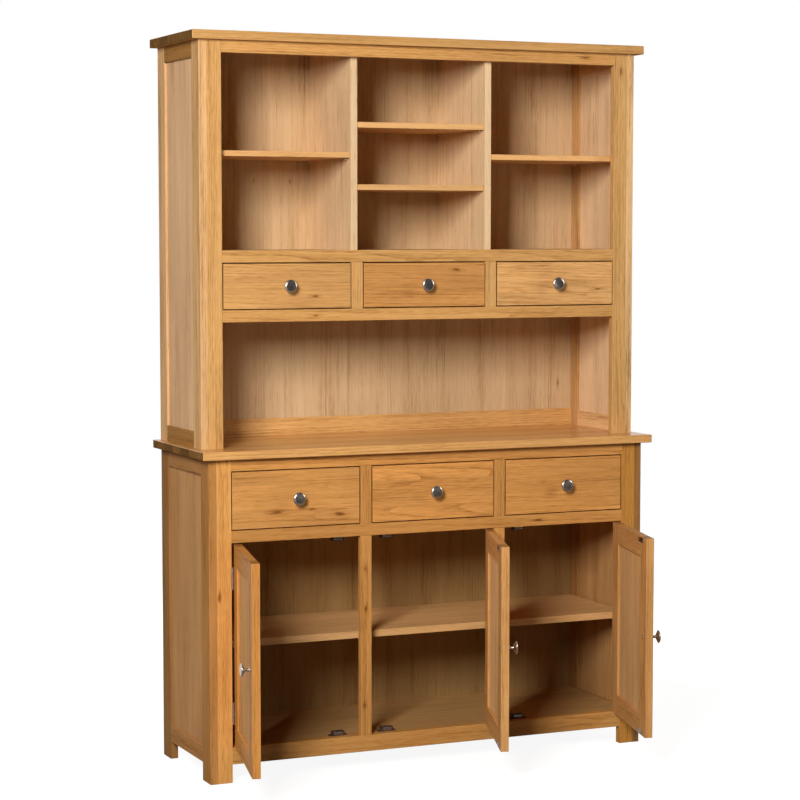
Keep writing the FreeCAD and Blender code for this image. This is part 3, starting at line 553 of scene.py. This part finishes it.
# a half outline of (radius, height) carried round the height axis; outlines start and end on the axis,
# so the first and last rings shrink to one point each
def turned(outline, steps):
    radius, height = outline.T
    angle = np.linspace(0, 2 * math.pi, steps, endpoint=False)
    ring = np.stack([
        np.outer(radius[1:-1], np.cos(angle)), np.outer(radius[1:-1], np.sin(angle)),
        np.outer(height[1:-1], np.ones(steps)),
    ], -1)
    rows = len(radius) - 2
    points = np.concatenate([ring.reshape(-1, 3), [[0, 0, height[0]], [0, 0, height[-1]]]])
    at, quads = ringQuads(rows, steps)
    low = np.stack([np.full(steps, rows * steps), np.roll(at[0], -1), at[0]], -1)
    high = np.stack([np.full(steps, rows * steps + 1), at[-1], np.roll(at[-1], -1)], -1)
    return points, quads.tolist() + low.tolist() + high.tolist()


# points with their height axis laid along a direction from an origin
def aimed(points, origin, direction):
    turn = Vector(direction).to_track_quat("Z", "Y").to_matrix()
    return points @ np.array(turn).T + np.array(origin)


def together(parts):
    points, faces, count = [], [], 0
    for some, shapes in parts:
        faces += [[corner + count for corner in shape] for shape in shapes]
        points.append(some)
        count += len(some)
    return np.concatenate(points), faces


# points of an arc: centre, radius, first and last angle in degrees
def arc(centre, radius, first, last, count):
    angle = np.radians(np.linspace(first, last, count))
    return np.stack([centre[0] + radius * np.cos(angle), centre[1] + radius * np.sin(angle)], -1)


# a screw head: share of its thickness that is straight, fall of its dome, shares of a slot's width and length
# that slope, rings and steps of its surface, and how near the last ring comes to the axis
screwShape = {
    "side": 0.55, "fall": 2.5, "slopeAcross": 0.2, "slopeAlong": 0.15, "rings": 15, "steps": 48, "inmost": 0.999,
}


# a screw head: a turned dome whose top is pressed in along two crossed slots
# height = dome(radius) - slot depth where the distance to the nearer cross line is under half a slot
def screwHead(radius, thick, dome, slotWidth, slotLength, slotDepth):
    across = np.linspace(0, 1, screwShape["rings"])
    side = thick * screwShape["side"]
    rise = side + (thick - side + dome) * (1 - (1 - across) ** screwShape["fall"])
    outline = np.concatenate([
        [[0, 0], [radius, 0], [radius, side]],
        np.stack([radius * (1 - across * screwShape["inmost"]), rise], -1)[1:],
        [[0, thick + dome]],
    ])
    points, faces = turned(outline, screwShape["steps"])
    near = np.minimum(np.abs(points[:, 0]), np.abs(points[:, 1]))
    reach = np.linalg.norm(points[:, :2], axis=1)
    pressed = np.clip((slotWidth / 2 - near) / (slotWidth * screwShape["slopeAcross"]) + 0.5, 0, 1)
    pressed *= np.clip((slotLength / 2 - reach) / (slotLength * screwShape["slopeAlong"]) + 0.5, 0, 1)
    points[:, 2] -= np.where(points[:, 2] > thick * 0.5, pressed * slotDepth, 0)
    return points, faces


nickelLook = {"colour": (0.56, 0.50, 0.45), "rough": 0.3}
steelLook = {"colour": (0.72, 0.72, 0.71), "rough": 0.26}
platedLook = {"colour": (0.40, 0.40, 0.39), "rough": 0.36}
# what all metal shares: noises in cycles per metre, and how strongly they show
metalGrain = {
    "cloud": (130, 130, 130), "marks": (600, 600, 3500), "spots": (900, 900, 900), "rubFrom": 0.62, "rubGain": 6.0,
    "least": 0.86, "cloudTone": 0.28, "rubDark": 0.12, "roughMarks": 0.14, "roughCloud": 0.12, "roughRub": 0.1,
    "bump": 0.12, "bumpDistance": 0.00008,
}


# metal with fine turning or rolling marks, faint cloudiness and small rubbed spots
def makeMetal(name, look):
    finish = Finish(name)
    place = finish.make("ShaderNodeTexCoord", out="Object")
    cloud = finish.noise(place, metalGrain["cloud"], 3.0)
    marks = finish.noise(place, metalGrain["marks"])
    spots = finish.noise(place, metalGrain["spots"], 1.0)
    rubbed = ((spots - metalGrain["rubFrom"]) * metalGrain["rubGain"]).limited()
    shade = metalGrain["least"] + cloud * metalGrain["cloudTone"] - rubbed * metalGrain["rubDark"]
    rough = (marks - 0.5) * metalGrain["roughMarks"] + (cloud - 0.5) * metalGrain["roughCloud"]
    return finish.surface({
        "Base Color": finish.scaled(look["colour"], shade),
        "Metallic": 1.0,
        "Roughness": rough + rubbed * metalGrain["roughRub"] + look["rough"],
        "Normal": finish.bump(metalGrain["bump"], metalGrain["bumpDistance"], marks),
    })


metals = {
    "nickel": makeMetal("satinNickel", nickelLook),
    "steel": makeMetal("screwSteel", steelLook),
    "plated": makeMetal("platedSteel", platedLook),
}


# a piece of steel that has no CAD node
def steelPiece(name, parts, body, smooth=True):
    points, faces = together(parts)
    piece = newPiece(name, points, faces, body, smooth=smooth)
    piece.data.materials.append(metals["steel"])


# knobs: a round foot, a thin neck, a cone out to a rounded rim and a slightly dished face; sizes in millimetres
knob = {
    "foot": 7.0, "footRise": 2.0, "footRound": 0.5, "lipRound": 0.6, "lipTurn": 70, "lipIn": 0.9, "footFall": 2.2,
    "neck": 3.75, "neckFrom": 5.0, "neckTo": 13.5, "swell": 0.4, "swellRun": 0.8, "steps": 72,
    "rim": 16.5, "rimFrom": 19.6, "rimTo": 20.8, "rimRound": 0.6, "rimTurn": -62,
    "face": 11.5, "front": 24.0, "dish": 0.8,
}
rise, run = knob["rim"] - knob["face"], knob["front"] - knob["rimTo"]
rounding = (rise * rise + run * run) / (2 * run)
roundStart = math.degrees(math.asin((rounding - run) / rounding))
share = np.linspace(0, 1, 8)
hollow = np.linspace(0.97, 0, 14)
knobOutline = np.concatenate([
    [[0, 0], [knob["foot"] - knob["footRound"], 0]],
    arc((knob["foot"] - knob["footRound"], knob["footRound"]), knob["footRound"], -90, 0, 4)[1:],
    arc(
        (knob["foot"] - knob["lipRound"], knob["footRise"] - knob["lipRound"]),
        knob["lipRound"], 0, knob["lipTurn"], 5,
    ),
    np.stack([
        knob["neck"] + (knob["foot"] - knob["lipIn"] - knob["neck"]) * (1 - share) ** knob["footFall"],
        knob["footRise"] + (knob["neckFrom"] - knob["footRise"]) * share,
    ], -1)[1:],
    [[knob["neck"], knob["neckTo"] - knob["swellRun"]], [knob["neck"] + knob["swell"], knob["neckTo"]]],
    arc(
        (knob["rim"] - knob["rimRound"], knob["rimFrom"] + knob["rimRound"]),
        knob["rimRound"], knob["rimTurn"], 0, 5,
    ),
    arc((knob["face"], knob["front"] - rounding), rounding, roundStart, 90, 18),
    np.stack([knob["face"] * hollow, knob["front"] - knob["dish"] * (1 - hollow ** 2)], -1),
]) / 1000
# their screws, in metres; a slot's width, length and depth
knobScrew = {
    "head": 0.0045, "thick": 0.0014, "dome": 0.0006, "slot": (0.0013, 0.0052, 0.0009), "shank": 0.002, "steps": 24,
    "sunk": 0.0003,
}
knobNodes = sorted(node for node in bodyOf if node.endswith("_knob"))
for node in knobNodes:
    body = bodyOf[node]
    (low, high), screw = boxesOf(node)
    x, y, z = (low[0] + high[0]) / 2, high[1], (low[2] + high[2]) / 2
    points, faces = turned(knobOutline, knob["steps"])
    parts = [(aimed(points, (x, y, z), (0, -1, 0)), faces)]
    headFoot = screw[1][1] - knobScrew["thick"] - knobScrew["dome"]
    points, faces = screwHead(knobScrew["head"], knobScrew["thick"], knobScrew["dome"], *knobScrew["slot"])
    parts.append((aimed(points, (x, headFoot, z), (0, 1, 0)), faces))
    length = headFoot + knobScrew["sunk"] - y
    shank = np.array([[0, 0], [0.7, 0.001], [1, 0.02], [1, 1], [0, 1]]) * (knobScrew["shank"], length)
    points, faces = turned(shank, knobScrew["steps"])
    parts.append((aimed(points, (x, y, z), (0, 1, 0)), faces))
    points, faces = together(parts)
    piece = newPiece("turned_" + node, swing(points, body, False), faces, body, [node], True)
    piece.data.materials.append(metals["nickel"])
print("knobs made:", len(knobNodes))


# shelf pins: plain rods with rounded ends
pins = {"round": 0.0009, "steps": 28}
pinParts = []
for low, high in boxesOf("shelf_pins"):
    axis = int(np.argmax(high - low))
    length = (high - low)[axis]
    radius = np.delete(high - low, axis).mean() / 2
    corner = arc((radius - pins["round"], pins["round"]), pins["round"], -90, 0, 5)
    outline = np.concatenate([[[0, 0]], corner, (corner * (1, -1) + (0, length))[::-1], [[0, length]]])
    points, faces = turned(outline, pins["steps"])
    origin = (low + high) / 2
    origin[axis] = low[axis]
    pinParts.append((aimed(points, origin, np.eye(3)[axis]), faces))
points, faces = together(pinParts)
pinPiece = newPiece("turned_shelf_pins", points, faces, "carcass", ["shelf_pins"], True)
beechLook = {
    "pale": (0.82, 0.62, 0.40), "deep": (0.60, 0.40, 0.22), "fleck": (260, 260, 900), "cloud": (35, 35, 35),
    "fleckShare": 0.7, "cloudShare": 0.5, "less": 0.1, "rough": 0.4, "roughFleck": 0.2,
    "bump": 0.25, "bumpDistance": 0.0003,
}


# beech: pale wood with short fine flecks
def makeBeech(look):
    finish = Finish("beechPins")
    place = finish.make("ShaderNodeTexCoord", out="Object")
    fleck = finish.noise(place, look["fleck"], 3.0)
    cloud = finish.noise(place, look["cloud"], 1.0)
    share = (fleck * look["fleckShare"] + cloud * look["cloudShare"] - look["less"]).limited()
    return finish.surface({
        "Base Color": finish.blend(share, look["pale"], look["deep"]),
        "Roughness": fleck * look["roughFleck"] + look["rough"],
        "Normal": finish.bump(look["bump"], look["bumpDistance"], fleck),
    })


pinPiece.data.materials.append(makeBeech(beechLook))

# magnetic catches: an outline with a ridged back carried from front to back, and two steel poles in its face;
# sizes in millimetres
catch = {
    "half": 16.0, "flange": 2.5, "ridges": 6, "ridgeRise": 0.5, "ridgeSteps": 49, "ease": 0.35,
    "poleWidth": 24.0, "poleThick": 1.3, "poleDepth": 3.0, "poleCorner": 0.3, "poleEase": 0.1,
    "poleProud": 0.1, "poleLevels": (4.6, 8.4),
}
hungAbove = 0.3   # catches above this height, in metres, hang from the rail
catchParts, poleParts = [], []
for low, high in boxesOf("door_catches"):
    hung = low[2] > hungAbove
    width, depth, height = (high - low) * 1000
    half, wide, ease = catch["half"], width / 2, catch["ease"]
    along = np.linspace(half, -half, catch["ridgeSteps"])
    ridge = height - catch["ridgeRise"] * (0.5 + 0.5 * np.cos(along / half * math.pi * catch["ridges"]))
    outline = np.concatenate([
        [[-wide, 0], [wide, 0], [wide, catch["flange"]], [half, catch["flange"]]],
        np.stack([along, ridge], -1), [[-half, catch["flange"]], [-wide, catch["flange"]]],
    ])
    inset = np.array([ease, 0.0, 0.0, ease])
    rows = np.array([0.0, ease, depth - ease, depth])
    centre = np.array([0, height / 2])
    shrink = 1 - inset[:, None, None] / np.array([wide, height / 2])
    section = (outline[None] - centre) * shrink + centre
    points = np.stack([section[..., 0], np.broadcast_to(rows[:, None], section.shape[:2]), section[..., 1]], -1)
    points = points.reshape(-1, 3) / 1000
    origin = ((low[0] + high[0]) / 2, low[1], high[2] if hung else low[2])
    at, quads = ringQuads(len(rows), len(outline))
    faces = np.roll(quads[:, ::-1], 1, axis=1).tolist() + [at[0].tolist(), at[-1][::-1].tolist()]
    if hung:
        points[:, 2] *= -1
        faces = [face[::-1] for face in faces]
    catchParts.append((points + origin, faces))
    poleParts.append((*origin, -1 if hung else 1))
points, faces = together(catchParts)
catchPiece = newPiece("moulded_door_catches", points, faces, "carcass", ["door_catches"])
plasticLook = {
    "colour": (0.045, 0.026, 0.018), "pale": (0.09, 0.055, 0.04),
    "skin": (1600, 1600, 1600), "cloud": (120, 120, 120),
    "paleFrom": 0.45, "paleGain": 2.0, "rough": 0.38, "roughSkin": 0.2, "bump": 0.3, "bumpDistance": 0.0001,
}


# moulded plastic: fine pebbled skin with paler rubbed spots
def makePlastic(look):
    finish = Finish("brownPlastic")
    place = finish.make("ShaderNodeTexCoord", out="Object")
    skin = finish.noise(place, look["skin"])
    cloud = finish.noise(place, look["cloud"])
    rubbed = ((cloud - look["paleFrom"]) * look["paleGain"]).limited()
    return finish.surface({
        "Base Color": finish.blend(rubbed, look["colour"], look["pale"]),
        "Roughness": skin * look["roughSkin"] + look["rough"],
        "Normal": finish.bump(look["bump"], look["bumpDistance"], skin),
    })


catchPiece.data.materials.append(makePlastic(plasticLook))


# a small plate: a rounded rectangle carried through its thickness, with its two ends drawn in
def roundedPlate(width, height, thick, corner, ease):
    quarter = arc((0, 0), 1.0, 0, 90, 7)
    centres = np.array([[1, 1], [-1, 1], [-1, -1], [1, -1]]) * (width / 2 - corner, height / 2 - corner)
    turns = np.array([[[1, 0], [0, 1]], [[0, 1], [-1, 0]], [[-1, 0], [0, -1]], [[0, -1], [1, 0]]])
    inset = np.array([ease, 0.0, 0.0, ease])
    level = np.array([0.0, ease, thick - ease, thick])
    radius = (corner - inset)[:, None, None, None]
    ring = centres[None, :, None] + radius * np.einsum("pi,tij->tpj", quarter, turns)[None]
    ring = ring.reshape(len(level), -1, 2)
    rise = np.broadcast_to(level[:, None, None], (*ring.shape[:2], 1))
    at, quads = ringQuads(*ring.shape[:2])
    points = np.concatenate([ring, rise], -1).reshape(-1, 3)
    return points, quads.tolist() + [at[0][::-1].tolist(), at[-1].tolist()]


poles = []
for x, y, z, up in poleParts:
    for level in catch["poleLevels"]:
        points, faces = roundedPlate(*(
            catch["pole" + name] / 1000 for name in ("Width", "Thick", "Depth", "Corner", "Ease")
        ))
        place = (x, y + (catch["poleDepth"] - catch["poleProud"]) / 1000, z + up * level / 1000)
        poles.append((aimed(points, place, (0, -1, 0)), faces))
steelPiece("catch_poles", poles, "carcass", False)

# joining plates at the back, each with four sunk screws on alternate sides of its middle
plates = {
    "thick": 0.0016, "corner": 0.004, "ease": 0.0003, "rows": (-0.019, -0.007, 0.007, 0.019), "aside": 0.006,
    "screw": 0.0036, "screwThick": 0.0004, "dome": 0.00025, "slot": (0.0011, 0.0044, 0.0004), "sunk": 0.0003,
}
plateParts, plateScrews = [], []
for low, high in boxesOf("hutch_joining_plates"):
    middle = (low + high) / 2
    points, faces = roundedPlate(
        high[0] - low[0], high[2] - low[2], plates["thick"], plates["corner"], plates["ease"]
    )
    plateParts.append((aimed(points, (middle[0], low[1], middle[2]), (0, 1, 0)), faces))
    for i, row in enumerate(plates["rows"]):
        points, faces = screwHead(plates["screw"], plates["screwThick"], plates["dome"], *plates["slot"])
        x = middle[0] + (plates["aside"] if i % 2 else -plates["aside"])
        place = (x, low[1] + plates["thick"] - plates["sunk"], middle[2] + row)
        plateScrews.append((aimed(points, place, (0, 1, 0)), faces))
points, faces = together(plateParts)
platePiece = newPiece("flat_joining_plates", points, faces, "carcass", ["hutch_joining_plates"])
platePiece.data.materials.append(metals["plated"])
steelPiece("joining_plate_screws", plateScrews, "carcass")

# hinges and strike plates keep their CAD shape; two screws in each hinge leaf, sunk to a hair proud of the metal,
# and two with domed heads in each strike plate
fittingScrew = {
    "radius": 0.0026, "thick": 0.0004, "dome": 0.00005, "slot": (0.0008, 0.0034, 0.0003), "sunk": 0.0003,
    "inset": 0.013,         # from a leaf's ends
    "leafMiddle": -0.1785,  # of a leaf's depth, with the door shut
    "gap": 0.0004,          # between the leaves of a shut hinge
    "plateSpread": 0.019, "plateDome": 0.0011,
}
pinWidth = 0.004    # narrower fittings are hinge pins
outerHinge = 0.3    # hinges further out than this hang an outer door
fittingScrews = {}
for node in ("hinge_leaves", "door_left_fittings", "door_middle_fittings", "door_right_fittings"):
    mesh = frame["nodes"][node].data
    mesh.materials.clear()
    mesh.materials.append(metals["nickel"])
    body = bodyOf[node]
    for low, high in boxesOf(node):
        size, middle = high - low, (low + high) / 2
        if size[0] < pinWidth:
            continue
        if size[2] > size[0]:
            # a leaf: the two leaves of a hinge lie on either side of its pin's line, the carcass one outside
            out = np.sign(-middle[0]) if abs(middle[0]) > outerHinge else -1.0
            facing = out if node == "hinge_leaves" else -out
            face = middle[0] - facing * fittingScrew["gap"] / 2
            ends = (low[2] + fittingScrew["inset"], high[2] - fittingScrew["inset"])
            spots = [(face, fittingScrew["leafMiddle"], end) for end in ends]
            direction, dome = (facing, 0, 0), fittingScrew["dome"]
        else:
            spots = [(middle[0] + way * fittingScrew["plateSpread"], high[1], middle[2]) for way in (-1, 1)]
            direction, dome = (0, 1, 0), fittingScrew["plateDome"]
        for spot in spots:
            points, faces = screwHead(fittingScrew["radius"], fittingScrew["thick"], dome, *fittingScrew["slot"])
            place = np.array(spot) - np.array(direction) * fittingScrew["sunk"]
            points = swing(aimed(points, place, direction), body, False)
            fittingScrews.setdefault(body, []).append((points, faces))
for body, parts in fittingScrews.items():
    steelPiece(body + "_screws", parts, body)
print("fittings made")


# what shows to the camera, through glass, and in metal by the share given
def shown(finish, glossy):
    rays = finish.make("ShaderNodeLightPath", out=("Is Camera Ray", "Is Glossy Ray", "Is Transmission Ray"))
    return (rays[0] + rays[1] * glossy + rays[2]).limited()


# floor: white to the camera, with the soft shadow of its own diffuse share near the object
floorLook = {
    "half": 14.0, "drop": 0.0004, "colour": (0.32, 0.315, 0.31), "share": 0.6, "lit": 0.14, "near": 1.2, "far": 3.0,
    "front": -0.25, "behind": 0.25,   # metal shows it white from here on
}
corners = np.array([[-1, -1], [1, -1], [1, 1], [-1, 1]]) * floorLook["half"]
floorMesh = bpy.data.meshes.new("studio_floor")
floorMesh.from_pydata(np.c_[corners, np.full(4, -floorLook["drop"])].tolist(), [], [[0, 1, 2, 3]])
floor = bpy.data.objects.new("studio_floor", floorMesh)
bpy.context.scene.collection.objects.link(floor)
finish = Finish("paleFloor")
place = finish.make("ShaderNodeTexCoord", out="Object")
fade = finish.length(place).ramp(floorLook["near"], floorLook["far"])
seen = shown(finish, finish.split(place)[1].ramp(floorLook["front"], floorLook["behind"]))
matt = finish.make("ShaderNodeBsdfDiffuse", sockets={"Color": (*floorLook["colour"], 1)})
level = (1 - floorLook["share"] * floorLook["lit"]) / (1 - floorLook["share"])
white = finish.make("ShaderNodeEmission", sockets={"Color": (1, 1, 1, 1), "Strength": fade * (1 - level) + level})
mixed = finish.make(
    "ShaderNodeMixShader",
    sockets={"Fac": seen * (1.0 - floorLook["share"] * (1.0 - fade)), "Shader": matt, "Shader_001": white},
)
finish.make("ShaderNodeOutputMaterial", sockets={"Surface": mixed})
floorMesh.materials.append(finish.material)

# world: a white backdrop behind the object, also in what metal reflects, and a weak even light on it
worldLook = {"colour": (0.96, 0.98, 1.0), "strength": 0.006, "front": -0.35, "behind": 0.15}
world = bpy.data.worlds.new("studio")
bpy.context.scene.world = world
world.use_nodes = True
sky = Finish("studio", world.node_tree)
toward = sky.split(sky.make("ShaderNodeTexCoord", out="Generated"))[1]
seen = shown(sky, toward.ramp(worldLook["front"], worldLook["behind"]))
even = sky.make(
    "ShaderNodeBackground", sockets={"Color": (*worldLook["colour"], 1), "Strength": worldLook["strength"]}
)
back = sky.make("ShaderNodeBackground", sockets={"Color": (1, 1, 1, 1), "Strength": 1.0})
mixed = sky.make("ShaderNodeMixShader", sockets={"Fac": seen, "Shader": even, "Shader_001": back})
sky.make("ShaderNodeOutputWorld", sockets={"Surface": mixed})

# lamps: a soft key from the front left, a second one far to the right, and one for the back that leaves no glare
lamps = {
    "key": {
        "place": (-2.88, -3.72, 2.57), "aim": (0, 0, 1.0), "size": (1.15, 1.55), "power": 253,
        "colour": (1, 0.98, 0.95), "glare": True,
    },
    "right": {
        "place": (3.6, -1.9, 2.0), "aim": (0, 0, 1.0), "size": (1.0, 1.3), "power": 50,
        "colour": (1, 0.98, 0.95), "glare": True,
    },
    "back": {
        "place": (0.9, 3.8, 2.1), "aim": (0, 0, 0.9), "size": (1.8, 1.8), "power": 80,
        "colour": (1, 0.98, 0.96), "glare": False,
    },
}
for name, lamp in lamps.items():
    light = bpy.data.lights.new(name, "AREA")
    light.shape, light.size, light.size_y = "RECTANGLE", *lamp["size"]
    light.energy, light.color = lamp["power"], lamp["colour"]
    holder = bpy.data.objects.new(name, light)
    holder.location = lamp["place"]
    holder.rotation_euler = (Vector(lamp["aim"]) - Vector(lamp["place"])).to_track_quat("-Z", "Y").to_euler()
    holder.visible_glossy = lamp["glare"]
    bpy.context.scene.collection.objects.link(holder)

# camera: in front and to the left at head height, as the photo was taken; angles in degrees, lens in millimetres
view = {
    "place": (-2.4292, -5.4571, 1.3528), "yaw": 23.9958, "pitch": -4.6388,
    "lens": 103.235, "sensor": 36.0, "shift": (-0.00521, 0.02538),
}
yaw, pitch = math.radians(view["yaw"]), math.radians(view["pitch"])
ahead = Vector((math.sin(yaw) * math.cos(pitch), math.cos(yaw) * math.cos(pitch), math.sin(pitch)))
lens = bpy.data.cameras.new("camera")
lens.lens, lens.sensor_width = view["lens"], view["sensor"]
lens.shift_x, lens.shift_y = view["shift"]
camera = bpy.data.objects.new("camera", lens)
camera.location = view["place"]
camera.rotation_euler = ahead.to_track_quat("-Z", "Y").to_euler()
bpy.context.scene.collection.objects.link(camera)
bpy.context.scene.camera = camera
bpy.context.scene.view_settings.view_transform = "Standard"
print("floor, lamps and camera set")
